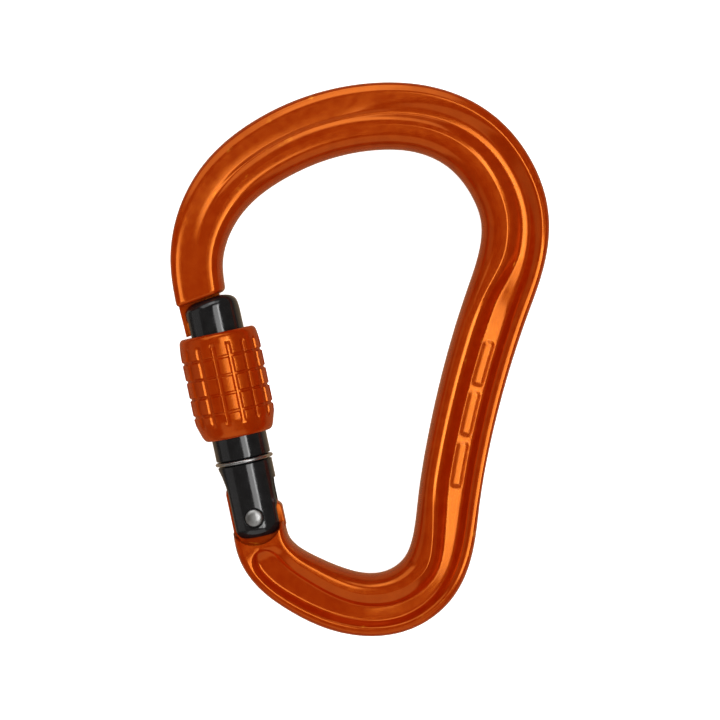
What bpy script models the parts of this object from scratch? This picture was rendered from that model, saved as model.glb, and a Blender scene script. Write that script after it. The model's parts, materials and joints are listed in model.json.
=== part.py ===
"""Pear-shaped screwgate carabiner.

The carabiner lies flat: its plane is X-Y, the spine is on the +X side, the gate on the -X side,
the wide rope basket towards +Y, and Z is square to it. The origin is under the middle of the
carabiner, at the height of the lowest point of the locking sleeve.

Dimensions are in millimetres and MM turns them into metres.
"""
import math

import bmesh
import bpy
import numpy as np
from mathutils import Vector

MM = 0.001
GAP = 0.3                       # clearance between pieces that touch on the real object
TURNED_STEPS = 48               # facets round the sleeve
SMALL_TURNED_STEPS = 24         # facets round the rivet and the plunger
FAR = 12.0                      # a cutter reaches this far, past the outside of the gate
ASIDE = 0.05                    # keeps two faces apart that would fall together in a Boolean

# Where things are
SLEEVE_RADIUS = 8.2
MID_HEIGHT = SLEEVE_RADIUS     # the middle plane of the carabiner above the ground
RIVET_X, RIVET_Y = -21.3, -31.6
GATE_TILT = math.radians(12.0)  # the gate leans this far towards -X
TUBE_OFFSET = 0.17              # axis of the gate tube beside the rivet, towards the inside

# Bar: x, y and width at the points that shape its centre line, from the hinge round to the nose
BAR_POINTS = [
    (-20.5, -32.4, 10.7), (-19.3, -38.4, 11.0), (-16.5, -42.1, 11.4), (-11.8, -45.3, 12.0),
    (-5.6, -48.2, 12.5), (1.4, -49.7, 12.7), (8.2, -48.6, 12.7), (14.0, -44.1, 12.6),
    (16.8, -37.4, 12.5), (18.0, -28.8, 12.5), (20.0, -16.6, 12.6), (23.3, -2.7, 12.9),
    (27.7, 11.4, 13.2), (30.7, 20.8, 13.5), (31.3, 28.6, 13.8), (28.4, 37.1, 13.9),
    (22.0, 44.5, 13.8), (13.2, 48.5, 13.5), (3.2, 49.2, 13.5), (-8.0, 47.1, 13.4),
    (-18.6, 42.3, 13.1), (-26.3, 36.2, 12.4), (-31.2, 28.5, 11.4), (-33.0, 20.0, 10.6),
    (-32.1, 12.3, 10.2)]

# Bar section, at distances along the centre line: six lines across the bar, measured from the
# centre line towards the outside, and the height of the pocket floor above the middle plane.
# The lines are the outer crest, top and foot of the outer wall, foot and top of the inner wall,
# and the inner crest.
BAR_SECTIONS = [
    (0.0, 3.9, 3.7, 2.0, -1.6, -3.3, -3.6, 2.4),
    (10.0, 3.9, 3.7, 2.0, -1.6, -3.3, -3.6, 2.4),
    (28.0, 4.3, 4.1, 3.1, 0.1, -2.2, -2.5, 2.4),
    (40.0, 4.4, 4.2, 3.0, 0.2, -2.1, -2.4, 2.4),
    (48.0, 4.4, 4.0, 2.2, 0.5, -1.3, -1.6, 2.6),
    (54.0, 4.6, 3.9, 1.8, -0.1, -1.8, -2.1, 2.4),
    (64.0, 5.1, 3.9, 2.3, -0.9, -2.9, -3.3, 2.2),
    (98.0, 5.1, 3.9, 2.3, -0.9, -2.9, -3.4, 2.2),
    (112.0, 5.4, 3.5, 2.4, 0.8, -1.2, -1.7, 2.8),
    (134.0, 5.4, 3.1, 2.2, 1.0, -1.1, -1.5, 3.2),
    (150.0, 5.4, 3.7, 1.9, -0.6, -1.5, -1.9, 3.4),
    (190.0, 5.2, 4.2, 1.7, -1.2, -2.0, -2.3, 3.6),
    (209.0, 4.1, 3.4, 1.4, -1.3, -2.0, -2.3, 5.6)]
RIM_HEIGHT = 5.7                # flanges above the middle plane
INNER_RIM_DROP = 0.15           # the inner crest lies this much lower
SIDE_POWER = 2.4                # roundness of the sides, 2 is an ellipse
OUTER_SIDE_STEPS, INNER_SIDE_STEPS = 3, 5
POCKET_START, POCKET_END_RADIUS = 5.6, 3.4
POCKET_END_SECTIONS = 5
SOLID_LINE_SPACING = 0.2        # where there is no pocket its lines still stay this far apart
NOSE_LEAN = 0.17                # the nose ends on a slant: its outer side reaches further
NOSE_LEAN_LENGTH = 14.0
NOSE_ROUNDING = 0.9
NOSE_SECTIONS = 4
SECTION_SPACING = 3.0           # length of bar from one section to the next
CLOSEST_SECTIONS = 0.5

# Tang and rivet
TANG_HALF = 2.4
FOOT_CLEARANCE_RADIUS = 5.3     # the bar is cut back round the foot of the gate
FOOT_CLEARANCE_BASE = -2.0
FOOT_CLEARANCE_REACH = 9.0      # how far the cut reaches to both sides, up the gate and in height
RIVET_RADIUS = 1.25
RIVET_HEAD_RADIUS, RIVET_HEAD_BASE, RIVET_HEAD_TOP = 1.75, 5.2, 5.95
TANG_OUTLINE = [
    (-3.2, -5.9), (-4.78, -2.3), (-4.78, 5.4), (-4.6, 6.2), (-4.2, 6.2), (-3.2, 4.9),
    (-1.6, 3.8), (0.2, 3.4), (1.8, 3.5), (3.0, 3.9), (4.0, 3.5), (4.9, 2.3), (5.5, 1.7),
    (5.9, 0.7), (5.95, -2.3), (4.4, -5.9)]

# Tongue of the nose
NOSE_PLANE, NOSE_SLOPE = 45.3, 0.13   # the bar ends at this height above the rivet, on a slant
TONGUE_SWING_RADIUS = 38.75           # its end is round about the rivet
TONGUE_TOP = 47.0
TONGUE_OUTER_TOP, TONGUE_OUTER_END = -6.2, -5.95
TONGUE_INNER = 2.3
TONGUE_ROOT = 1.5                     # its top corner lies this far inside the nose
NECK_HALF, TOE_HALF = 1.3, 2.4
TOE_OUTER, TOE_TOP = -5.2, 41.0

# Gate: distance from the rivet, outer side, inner side (both from the rivet), tube radius
TUBE_RADIUS = 5.72
GATE_SECTIONS = [
    (-3.9, -2.0, 2.0, 4.9), (-3.3, -3.3, 3.5, 5.3), (-2.2, -4.1, 4.5, 5.6),
    (-0.8, -4.35, 4.8, TUBE_RADIUS), (1.2, -4.35, 4.8, TUBE_RADIUS),
    (1.8, -4.35, 5.25, TUBE_RADIUS), (5.6, -4.35, 5.35, TUBE_RADIUS),
    (7.0, -4.45, 5.9, TUBE_RADIUS), (9.4, -4.95, 5.9, TUBE_RADIUS),
    (10.9, -5.6, 5.9, TUBE_RADIUS), (11.0, -5.6, 5.9, 5.0), (12.1, -5.6, 5.9, 5.0),
    (12.2, -5.6, 5.9, TUBE_RADIUS), (38.0, -5.6, 5.95, TUBE_RADIUS),
    (41.4, -5.6, 5.9, TUBE_RADIUS), (42.8, -5.6, 5.6, TUBE_RADIUS), (43.8, -5.4, 5.1, 5.6),
    (44.5, -4.9, 4.4, 5.2), (44.8, -4.2, 3.6, 4.6)]
GATE_HEAD_SLOPE_START, GATE_HEAD_SLOPE_END = 40.0, 45.0
GATE_ROUND_POINTS = 40
CLEVIS_HALF = TANG_HALF + GAP
CLEVIS_TOP = 7.0
SPOT_FACE_RADIUS, SPOT_FACE_HEIGHT = 2.1, 4.9
SLOT_FLOOR = 37.8
TOE_SLOT_TOP = 41.4
BORE_RADIUS, BORE_TOP = 2.4, 31.0

# Sleeve, along the gate
SLEEVE_BOTTOM, SLEEVE_TOP = 16.6, 37.95
SLEEVE_BORE = TUBE_RADIUS + GAP
SLEEVE_COUNTERBORE, COUNTERBORE_DEPTH = 6.7, 4.9
RIB_GROOVES = 4
RIB_PITCH = 3.67
FIRST_GROOVE = 22.0
GROOVE_HALF_WIDTH, GROOVE_DEPTH = 0.45, 0.35

# Stop ring
RING_HEIGHT = 11.55
RING_RADIUS, RING_WIRE_RADIUS = 5.6, 0.36
RING_SPLIT = math.radians(14.0)
RING_POINTS = 44

# Spring and plunger
PLUNGER_TIP = 3.75
PLUNGER_STEM_RADIUS = 1.2
COLLAR_RADIUS, COLLAR_BASE, COLLAR_TOP = 2.1, 9.4, 10.4
PILOT_RADIUS, PILOT_TOP = 0.95, 13.4
SPRING_RADIUS, SPRING_WIRE_RADIUS = 1.72, 0.33
SPRING_TURNS, SPRING_POINTS_PER_TURN = 9, 12


def clear_scene():
    for old in list(bpy.data.objects):
        bpy.data.objects.remove(old, do_unlink=True)
    for old in list(bpy.data.collections):
        bpy.data.collections.remove(old)


def new_collection(name):
    made = bpy.data.collections.new(name)
    bpy.context.scene.collection.children.link(made)
    return made


def material(name, colour, roughness, metallic):
    made = bpy.data.materials.new(name)
    made.use_nodes = True
    shader = made.node_tree.nodes["Principled BSDF"]
    shader.inputs["Base Color"].default_value = (*colour, 1.0)
    shader.inputs["Roughness"].default_value = roughness
    shader.inputs["Metallic"].default_value = metallic
    return made


def add_object(name, mesh, parent, collection, finish=None):
    made = bpy.data.objects.new(name, mesh)
    collection.objects.link(made)
    made.parent = parent
    if finish:
        mesh.materials.append(finish)
        mesh.shade_smooth()
        mesh.set_sharp_from_angle(angle=math.radians(35))
    else:
        made.hide_render = True
        made.display_type = "WIRE"
    return made


def mesh_from(name, points, faces):
    """A mesh whose points are given in millimetres."""
    mesh = bpy.data.meshes.new(name)
    mesh.from_pydata([Vector(point) * MM for point in points], [], faces)
    mesh.update()
    return mesh


def mesh_from_curve(curve_object):
    """The closed mesh of a curve object, with its caps welded on."""
    bpy.context.view_layer.update()
    evaluated = curve_object.evaluated_get(bpy.context.evaluated_depsgraph_get())
    mesh = bpy.data.meshes.new_from_object(evaluated)
    work = bmesh.new()
    work.from_mesh(mesh)
    bmesh.ops.remove_doubles(work, verts=work.verts, dist=1e-6)
    work.to_mesh(mesh)
    work.free()
    return mesh


def plate(name, outline, low, high, parent, collection):
    """A flat outline in X-Y, filled and thickened from one height to another."""
    curve = bpy.data.curves.new(name + "_outline", "CURVE")
    curve.dimensions = "2D"
    curve.fill_mode = "BOTH"
    curve.extrude = (high - low) / 2 * MM
    spline = curve.splines.new("POLY")
    spline.points.add(len(outline) - 1)
    for point, (x, y) in zip(spline.points, outline):
        point.co = (x * MM, y * MM, 0.0, 1.0)
    spline.use_cyclic_u = True
    drawn = bpy.data.objects.new(name + "_outline", curve)
    collection.objects.link(drawn)
    mesh = mesh_from_curve(drawn)
    bpy.data.objects.remove(drawn, do_unlink=True)
    made = add_object(name, mesh, parent, collection)
    made.location.z = (low + high) / 2 * MM
    return made


def wire(name, points, radius, parent, collection, finish):
    """A round wire along the given points, with closed ends."""
    curve = bpy.data.curves.new(name + "_wire", "CURVE")
    curve.dimensions = "3D"
    curve.bevel_depth = radius * MM
    curve.bevel_resolution = 2
    curve.use_fill_caps = True
    spline = curve.splines.new("POLY")
    spline.points.add(len(points) - 1)
    for point, place in zip(spline.points, points):
        point.co = (*(Vector(place) * MM), 1.0)
    drawn = bpy.data.objects.new(name + "_wire", curve)
    collection.objects.link(drawn)
    mesh = mesh_from_curve(drawn)
    bpy.data.objects.remove(drawn, do_unlink=True)
    return add_object(name, mesh, parent, collection, finish)


def turned(name, profile, steps, axis, parent, collection, finish):
    """A solid of revolution. The profile is (radius, distance along the axis), top to bottom.

    It is turned about the object's Z, and a piece that lies along the gate has that axis laid
    along the gate's own Y.
    """
    points = [(radius, 0.0, along) for radius, along in profile]
    edges = [(k, k + 1) for k in range(len(points) - 1)]
    mesh = bpy.data.meshes.new(name)
    mesh.from_pydata([Vector(point) * MM for point in points], edges, [])
    made = add_object(name, mesh, parent, collection, finish)
    screw = made.modifiers.new("turn", "SCREW")
    screw.steps = steps
    screw.render_steps = steps
    screw.use_merge_vertices = True
    screw.merge_threshold = 1e-6
    screw.use_smooth_shade = True
    if axis == "GATE":
        made.rotation_euler.x = -math.pi / 2
        made.location.x = TUBE_OFFSET * MM
    return made


def cylinder(name, radius, low, high, parent, collection):
    """A cylinder along Z between two heights."""
    work = bmesh.new()
    bmesh.ops.create_cone(work, cap_ends=True, segments=32, radius1=radius * MM,
                          radius2=radius * MM, depth=(high - low) * MM)
    mesh = bpy.data.meshes.new(name)
    work.to_mesh(mesh)
    work.free()
    made = add_object(name, mesh, parent, collection)
    made.location.z = (low + high) / 2 * MM
    return made


def box(name, low, high, parent, collection):
    """A box between two corners."""
    low, high = Vector(low) * MM, Vector(high) * MM
    work = bmesh.new()
    bmesh.ops.create_cube(work, size=1.0)
    bmesh.ops.scale(work, vec=high - low, verts=work.verts)
    bmesh.ops.translate(work, vec=(low + high) / 2, verts=work.verts)
    mesh = bpy.data.meshes.new(name)
    work.to_mesh(mesh)
    work.free()
    return add_object(name, mesh, parent, collection)


def boolean(target, operation, tools):
    for tool in tools:
        step = target.modifiers.new(operation.lower() + "_" + tool.name, "BOOLEAN")
        step.operation = operation
        step.object = tool
        step.solver = "EXACT"


def loft(name, rings):
    """A closed mesh through rings of points, each ring with the same number of points."""
    count = len(rings[0])
    points = [point for ring in rings for point in ring]
    faces = []
    for row in range(len(rings) - 1):
        for k in range(count):
            near, ahead = row * count + k, row * count + (k + 1) % count
            faces.append((near, ahead, ahead + count, near + count))
    faces.append(tuple(reversed(range(count))))
    faces.append(tuple(range(len(points) - count, len(points))))
    return mesh_from(name, points, faces)


def spline_through(points):
    """A smooth curve through the points: a function from distances to rows of values.

    It is a natural cubic spline over the straight distance from point to point, so its
    curvature has no jumps. The first two values of a point are its place.
    """
    rows = np.array(points)
    steps = np.hypot(*np.diff(rows[:, :2], axis=0).T)
    reach = np.concatenate([[0.0], np.cumsum(steps)])
    count = len(rows)
    system, right = np.eye(count), np.zeros_like(rows)
    for k in range(1, count - 1):
        before, after = steps[k - 1], steps[k]
        system[k, k - 1:k + 2] = before, 2 * (before + after), after
        right[k] = 6 * ((rows[k + 1] - rows[k]) / after - (rows[k] - rows[k - 1]) / before)
    bend = np.linalg.solve(system, right)

    def values(at):
        k = np.clip(np.searchsorted(reach, at, side="right") - 1, 0, count - 2)
        step = steps[k][:, None]
        ahead = (at - reach[k])[:, None] / step
        behind = 1 - ahead
        straight = behind * rows[k] + ahead * rows[k + 1]
        curved = (behind ** 3 - behind) * bend[k] + (ahead ** 3 - ahead) * bend[k + 1]
        return straight + curved * step ** 2 / 6

    return values, reach[-1]


def bar_line(distances):
    """Place, direction and width of the bar at distances along its centre line."""
    values, reach = spline_through(BAR_POINTS)
    fine = np.linspace(0.0, reach, 4000)
    places = values(fine)[:, :2]
    travelled = np.concatenate([[0.0], np.cumsum(np.hypot(*np.diff(places, axis=0).T))])
    at = np.interp(distances, travelled, fine)
    small = 0.01
    rows = values(at)
    ahead = values(at + small)[:, :2] - values(at - small)[:, :2]
    ahead /= np.hypot(*ahead.T)[:, None]
    return rows[:, :2], ahead, rows[:, 2]


def bar_length():
    values, reach = spline_through(BAR_POINTS)
    places = values(np.linspace(0.0, reach, 4000))[:, :2]
    return float(np.hypot(*np.diff(places, axis=0).T).sum())


def eased(at, stations):
    """Values at a distance, easing from one station to the next."""
    rows = np.array(stations)
    k = int(np.clip(np.searchsorted(rows[:, 0], at, side="right") - 1, 0, len(rows) - 2))
    part = min(max((at - rows[k, 0]) / (rows[k + 1, 0] - rows[k, 0]), 0.0), 1.0)
    part = part * part * (3 - 2 * part)
    return rows[k, 1:] * (1 - part) + rows[k + 1, 1:] * part


def side(crest, edge, height, steps):
    """Points round one side of the bar, from the middle plane up to the crest."""
    points = []
    for k in range(steps + 1):
        angle = math.pi / 2 * k / (steps + 1)
        across = crest + (edge - crest) * math.cos(angle) ** (2 / SIDE_POWER)
        points.append((across, height * math.sin(angle) ** (2 / SIDE_POWER)))
    return points


def bar_section(at, width, length):
    """Points (across, height) round the bar: up the outer side, over the pocket and back."""
    *lines, floor = eased(at, BAR_SECTIONS)
    past = max(at - (length - NOSE_ROUNDING), 0.0)
    inset = NOSE_ROUNDING - math.sqrt(max(NOSE_ROUNDING ** 2 - past ** 2, 0.0))
    rim = RIM_HEIGHT - inset
    inner_rim = rim - INNER_RIM_DROP
    crest_out, top_out, foot_out, foot_in, top_in, crest_in = lines
    begun = min(max((at - POCKET_START) / POCKET_END_RADIUS, 0.0), 1.0)
    opened = math.sqrt(begun * (2 - begun))
    middle = (foot_out + foot_in) / 2
    foot_out, foot_in = middle + (foot_out - middle) * opened, middle + (foot_in - middle) * opened
    top_out, top_in = middle + (top_out - middle) * opened, middle + (top_in - middle) * opened
    if opened == 0.0:
        apart = SOLID_LINE_SPACING
        foot_out, foot_in = middle + apart, middle - apart
        top_out, top_in = middle + 2 * apart, middle - 2 * apart
    floor = min(rim - (rim - floor) * opened, inner_rim)
    outer = side(crest_out, width / 2 - inset, rim, OUTER_SIDE_STEPS)
    inner = side(crest_in, inset - width / 2, inner_rim, INNER_SIDE_STEPS)
    over = [(crest_out, rim), (top_out, rim), (foot_out, floor), (foot_in, floor),
            (top_in, inner_rim), (crest_in, inner_rim)]
    upper = outer + over + inner[::-1]
    lower = [(across, -height) for across, height in reversed(upper[1:-1])]
    return upper + lower


def bar_distances(length):
    """Distances of the sections: even along the bar, closer where the pocket or nose ends."""
    even = np.arange(0.0, length - SECTION_SPACING, SECTION_SPACING)
    turn = np.linspace(0.0, math.pi / 2, POCKET_END_SECTIONS)
    start = POCKET_START + POCKET_END_RADIUS * (1 - np.cos(turn))
    turn = np.linspace(0.0, math.pi / 2, NOSE_SECTIONS)
    nose = length - NOSE_ROUNDING * (1 - np.sin(turn))
    clear = (even < start[0] - CLOSEST_SECTIONS) | (even > start[-1] + CLOSEST_SECTIONS)
    clear &= even < nose[0] - CLOSEST_SECTIONS
    return np.sort(np.concatenate([even[clear], start, nose]))


def bar_mesh():
    length = bar_length()
    distances = bar_distances(length)
    places, aheads, widths = bar_line(distances)
    rings = []
    for at, place, ahead, width in zip(distances, places, aheads, widths):
        outwards = np.array([ahead[1], -ahead[0]])
        leaning = min(max((at - length + NOSE_LEAN_LENGTH) / NOSE_LEAN_LENGTH, 0.0), 1.0)
        lean = NOSE_LEAN * leaning * leaning * (3 - 2 * leaning)
        ring = []
        for across, height in bar_section(at, width, length):
            x, y = place + across * (outwards + lean * ahead)
            ring.append((x, y, height))
        rings.append(ring)
    return loft("body", rings)


def arc(radius, start, end, count):
    """Points of an arc about the rivet; the angles are in degrees."""
    angles = np.radians(np.linspace(start, end, count))
    return [(radius * math.cos(a), radius * math.sin(a)) for a in angles]


def build_body(middle, hinge, parts, cutters, finish):
    body = add_object("body", bar_mesh(), middle, parts, finish)
    base, radius, reach = FOOT_CLEARANCE_BASE, FOOT_CLEARANCE_RADIUS, FOOT_CLEARANCE_REACH
    corner = math.degrees(math.asin(base / radius))
    clearance = [(reach, base), (reach, reach), (-reach, reach), (-reach, base)]
    clearance += arc(radius, 180 - corner, 360 + corner, 15)
    foot_clearance = plate("foot_clearance", clearance, -reach, reach, hinge, cutters)
    boolean(body, "DIFFERENCE", [foot_clearance])
    tang = plate("tang", TANG_OUTLINE, -TANG_HALF, TANG_HALF, hinge, cutters)
    swing = TONGUE_SWING_RADIUS
    inner_angle = math.degrees(math.acos(TONGUE_INNER / swing))
    outer_angle = math.degrees(math.acos(TONGUE_OUTER_END / swing))
    toe_angle = math.degrees(math.acos(TOE_OUTER / swing))
    neck_outline = [(TONGUE_INNER, TONGUE_TOP)] + arc(swing, inner_angle, outer_angle, 6)
    neck_outline += [(TONGUE_OUTER_TOP, NOSE_PLANE), (TONGUE_OUTER_TOP + TONGUE_ROOT, TONGUE_TOP)]
    neck = plate("tongue_neck", neck_outline, -NECK_HALF, NECK_HALF, hinge, cutters)
    toe_inner = TONGUE_INNER - ASIDE
    inner_angle = math.degrees(math.acos(toe_inner / swing))
    toe_outline = [(toe_inner, TOE_TOP)] + arc(swing, inner_angle, toe_angle, 6)
    toe_outline += [(TOE_OUTER, TOE_TOP)]
    toe = plate("tongue_toe", toe_outline, -TOE_HALF, TOE_HALF, hinge, cutters)
    boolean(body, "UNION", [tang, neck, toe])
    hole = cylinder("tang_hole", RIVET_RADIUS + GAP, -4.0, 4.0, hinge, cutters)
    boolean(body, "DIFFERENCE", [hole])
    return body


def gate_ring(along, outer, inner, radius):
    """Points round the gate at a distance from the rivet: a circle cut off at both sides."""
    ring = []
    start, end = GATE_HEAD_SLOPE_START, GATE_HEAD_SLOPE_END
    rise = NOSE_SLOPE * min(max((along - start) / (end - start), 0.0), 1.0)
    for k in range(GATE_ROUND_POINTS):
        angle = 2 * math.pi * k / GATE_ROUND_POINTS
        across = TUBE_OFFSET + radius * math.cos(angle)
        height = radius * math.sin(angle)
        across = min(max(across, outer), inner)
        ring.append((across, along + rise * across, -height))
    return ring


def build_gate(hinge, parts, cutters, finish):
    rings = [gate_ring(*section) for section in GATE_SECTIONS]
    gate = add_object("gate", loft("gate", rings), hinge, parts, finish)
    clevis = box("clevis_slot", (-FAR, -FAR, -CLEVIS_HALF), (FAR, CLEVIS_TOP, CLEVIS_HALF),
                 hinge, cutters)
    hole = cylinder("gate_hole", RIVET_RADIUS + GAP, -FAR, FAR, hinge, cutters)
    spots = [cylinder("spot_face_above", SPOT_FACE_RADIUS, SPOT_FACE_HEIGHT, FAR, hinge, cutters),
             cylinder("spot_face_below", SPOT_FACE_RADIUS, -FAR, -SPOT_FACE_HEIGHT, hinge,
                      cutters)]
    inner = TONGUE_INNER + GAP
    neck_slot = box("neck_slot", (-FAR, SLOT_FLOOR, -NECK_HALF - GAP),
                    (inner, TONGUE_TOP, NECK_HALF + GAP), hinge, cutters)
    toe_slot = box("toe_slot", (-FAR, SLOT_FLOOR + ASIDE, -TOE_HALF - GAP),
                   (inner - ASIDE, TOE_SLOT_TOP, TOE_HALF + GAP), hinge, cutters)
    mouth = CLEVIS_TOP - 1.0
    bore = cylinder("spring_bore", BORE_RADIUS, mouth, BORE_TOP, hinge, cutters)
    bore.rotation_euler.x = -math.pi / 2
    bore.location = (TUBE_OFFSET * MM, (mouth + BORE_TOP) / 2 * MM, 0.0)
    boolean(gate, "DIFFERENCE", [clevis, hole, *spots, neck_slot, toe_slot, bore])
    return gate


def sleeve_profile():
    """Outer side of the sleeve from top to bottom, then back up through its bore."""
    outer = [(6.95, SLEEVE_TOP), (7.5, SLEEVE_TOP - 0.15), (7.8, SLEEVE_TOP - 0.6), (8.0, 35.6)]
    for k in reversed(range(RIB_GROOVES)):
        groove = FIRST_GROOVE + k * RIB_PITCH
        wide, narrow = GROOVE_HALF_WIDTH, GROOVE_HALF_WIDTH * 0.4
        floor = SLEEVE_RADIUS - GROOVE_DEPTH
        outer += [(SLEEVE_RADIUS, groove + wide), (floor, groove + narrow),
                  (floor, groove - narrow), (SLEEVE_RADIUS, groove - wide)]
    outer += [(8.1, 20.4), (7.15, 17.2), (6.9, 16.8), (6.45, SLEEVE_BOTTOM)]
    shoulder = SLEEVE_TOP - COUNTERBORE_DEPTH
    bore = [(SLEEVE_BORE, SLEEVE_BOTTOM), (SLEEVE_BORE, shoulder),
            (SLEEVE_COUNTERBORE, shoulder + 0.4), (SLEEVE_COUNTERBORE, SLEEVE_TOP)]
    return outer + bore + [outer[0]]


def rivet_profile():
    """Head, shank and second head of the rivet, from top to bottom."""
    base, top, wide = RIVET_HEAD_BASE, RIVET_HEAD_TOP, RIVET_HEAD_RADIUS
    head = [(0.0, top), (wide * 0.5, top - 0.06), (wide * 0.85, top - 0.22), (wide, top - 0.5),
            (wide, base), (RIVET_RADIUS, base)]
    return head + [(radius, -along) for radius, along in reversed(head)]


def plunger_profile():
    """Pilot inside the spring, collar under the spring, stem and round tip."""
    stem, tip = PLUNGER_STEM_RADIUS, PLUNGER_TIP
    upper = [(0.0, PILOT_TOP), (PILOT_RADIUS - 0.2, PILOT_TOP), (PILOT_RADIUS, PILOT_TOP - 0.3),
             (PILOT_RADIUS, COLLAR_TOP), (COLLAR_RADIUS, COLLAR_TOP), (COLLAR_RADIUS, COLLAR_BASE),
             (stem, COLLAR_BASE)]
    bends = [math.radians(a) for a in (0, 30, 60)]
    point = [(stem * math.cos(a), tip + stem - stem * math.sin(a)) for a in bends]
    return upper + point + [(0.0, tip)]


def spring_points():
    """The coil, with a flat half turn at both ends."""
    low = COLLAR_TOP + GAP + SPRING_WIRE_RADIUS
    high = BORE_TOP - GAP - SPRING_WIRE_RADIUS
    count = SPRING_TURNS * SPRING_POINTS_PER_TURN
    points = []
    for k in range(count + 1):
        turn = 2 * math.pi * k / SPRING_POINTS_PER_TURN
        climb = min(max((k / count - 0.05) / 0.9, 0.0), 1.0)
        points.append((TUBE_OFFSET + SPRING_RADIUS * math.cos(turn), low + (high - low) * climb,
                       SPRING_RADIUS * math.sin(turn)))
    return points


def ring_points():
    """The stop ring, split on the outer side of the gate."""
    angles = np.linspace(math.pi + RING_SPLIT / 2, 3 * math.pi - RING_SPLIT / 2, RING_POINTS)
    return [(TUBE_OFFSET + RING_RADIUS * math.cos(a), RING_HEIGHT, RING_RADIUS * math.sin(a))
            for a in angles]


def empty(name, location, turn, collection):
    made = bpy.data.objects.new(name, None)
    made.location = location
    made.rotation_euler.z = turn
    collection.objects.link(made)
    return made


def main():
    clear_scene()
    parts = new_collection("carabiner")
    cutters = new_collection("cutters")
    orange = material("orange_anodised", (0.62, 0.13, 0.01), 0.35, 0.9)
    sleeve_orange = material("orange_sleeve", (0.66, 0.15, 0.01), 0.35, 0.9)
    black = material("black_anodised", (0.015, 0.015, 0.016), 0.25, 0.7)
    steel = material("steel", (0.55, 0.55, 0.53), 0.35, 1.0)
    spring_steel = material("spring_steel", (0.4, 0.4, 0.4), 0.3, 1.0)
    middle = empty("middle_plane", (0.0, 0.0, MID_HEIGHT * MM), 0.0, parts)
    hinge = empty("hinge_axis", (RIVET_X * MM, RIVET_Y * MM, MID_HEIGHT * MM), GATE_TILT, parts)
    build_body(middle, hinge, parts, cutters, orange)
    build_gate(hinge, parts, cutters, black)
    turned("locking_sleeve", sleeve_profile(), TURNED_STEPS, "GATE", hinge, parts,
           sleeve_orange)
    turned("hinge_rivet", rivet_profile(), SMALL_TURNED_STEPS, "RIVET", hinge, parts, steel)
    turned("spring_plunger", plunger_profile(), SMALL_TURNED_STEPS, "GATE", hinge, parts, steel)
    wire("gate_spring", spring_points(), SPRING_WIRE_RADIUS, hinge, parts, spring_steel)
    wire("stop_ring", ring_points(), RING_WIRE_RADIUS, hinge, parts, steel)


main()
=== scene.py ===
"""Looks of the pear-shaped screwgate carabiner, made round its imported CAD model.

Pieces are worked out in millimetres, in one of two sets of directions:
  the carabiner's own: x, y and the height above the middle plane;
  the gate's: across the gate (towards the inside of the carabiner), up the gate from the
  rivet, and the height above the middle plane.
"""
import json
import math

import bmesh
import bpy
import numpy as np
from mathutils import Matrix, Vector


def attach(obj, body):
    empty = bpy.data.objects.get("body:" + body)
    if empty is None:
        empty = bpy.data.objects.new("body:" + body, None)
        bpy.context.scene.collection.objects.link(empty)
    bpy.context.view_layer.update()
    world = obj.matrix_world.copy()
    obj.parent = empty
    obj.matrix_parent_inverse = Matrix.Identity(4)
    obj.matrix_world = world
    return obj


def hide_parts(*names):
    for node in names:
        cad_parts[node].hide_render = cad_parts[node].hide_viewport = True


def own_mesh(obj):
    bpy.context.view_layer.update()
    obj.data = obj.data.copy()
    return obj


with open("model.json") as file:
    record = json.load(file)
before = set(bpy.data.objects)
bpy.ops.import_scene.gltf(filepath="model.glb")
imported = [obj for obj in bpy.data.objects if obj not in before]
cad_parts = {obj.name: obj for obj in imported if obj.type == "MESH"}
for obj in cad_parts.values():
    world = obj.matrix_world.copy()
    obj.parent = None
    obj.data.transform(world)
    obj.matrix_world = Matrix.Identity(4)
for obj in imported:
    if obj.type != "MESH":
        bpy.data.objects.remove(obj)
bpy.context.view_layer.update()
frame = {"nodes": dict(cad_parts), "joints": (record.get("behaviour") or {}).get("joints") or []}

MM = 0.001
JOINTS = {joint["name"]: joint for joint in frame["joints"]}
HINGE = Vector(JOINTS["gate_hinge"]["pos_m"])
GATE_UP = Vector(JOINTS["sleeve_slide"]["axis"]).normalized()
UPWARDS = Vector((0.0, 0.0, 1.0))
MILLIMETRES = Matrix.Diagonal((MM, MM, MM, 1.0))
MIDDLE = Matrix.Translation((0.0, 0.0, HINGE.z)) @ MILLIMETRES
GATE = Matrix.Translation(HINGE) @ Matrix(
    (GATE_UP.cross(UPWARDS), GATE_UP, UPWARDS)).transposed().to_4x4() @ MILLIMETRES


def gate_box(name):
    """Lowest and highest corner of a CAD node, in the gate's directions."""
    inverse = GATE.inverted()
    corners = np.array([inverse @ v.co for v in frame["nodes"][name].data.vertices])
    return corners.min(axis=0), corners.max(axis=0)


# ---------------------------------------------------------------- bar: centre line and sections

# x, y and width of the bar along its centre line, from the hinge round to the nose. They follow
# a line that a helper script traced from the photograph's outline, and were trimmed by hand.
BAR_POINTS = [
    (-20.6, -32.4, 10.6), (-19.3, -38.4, 11.0), (-16.5, -42.1, 11.4), (-11.8, -45.3, 12.0),
    (-5.6, -48.2, 12.5), (1.4, -49.7, 12.5), (8.2, -48.6, 12.6), (14.0, -44.1, 12.6),
    (16.8, -37.4, 12.5), (18.0, -28.8, 12.5), (20.0, -16.6, 12.6), (23.3, -2.7, 12.9),
    (27.7, 11.4, 13.2), (30.7, 20.8, 13.4), (31.3, 28.6, 13.65), (28.4, 37.1, 13.9),
    (22.0, 44.5, 13.8), (13.2, 48.5, 13.5), (3.2, 49.2, 13.45), (-8.0, 47.1, 13.4),
    (-18.6, 42.3, 13.1), (-26.3, 36.2, 12.4), (-31.2, 28.5, 11.35), (-33.0, 20.0, 10.5),
    (-32.1, 12.3, 10.2)]

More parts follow.
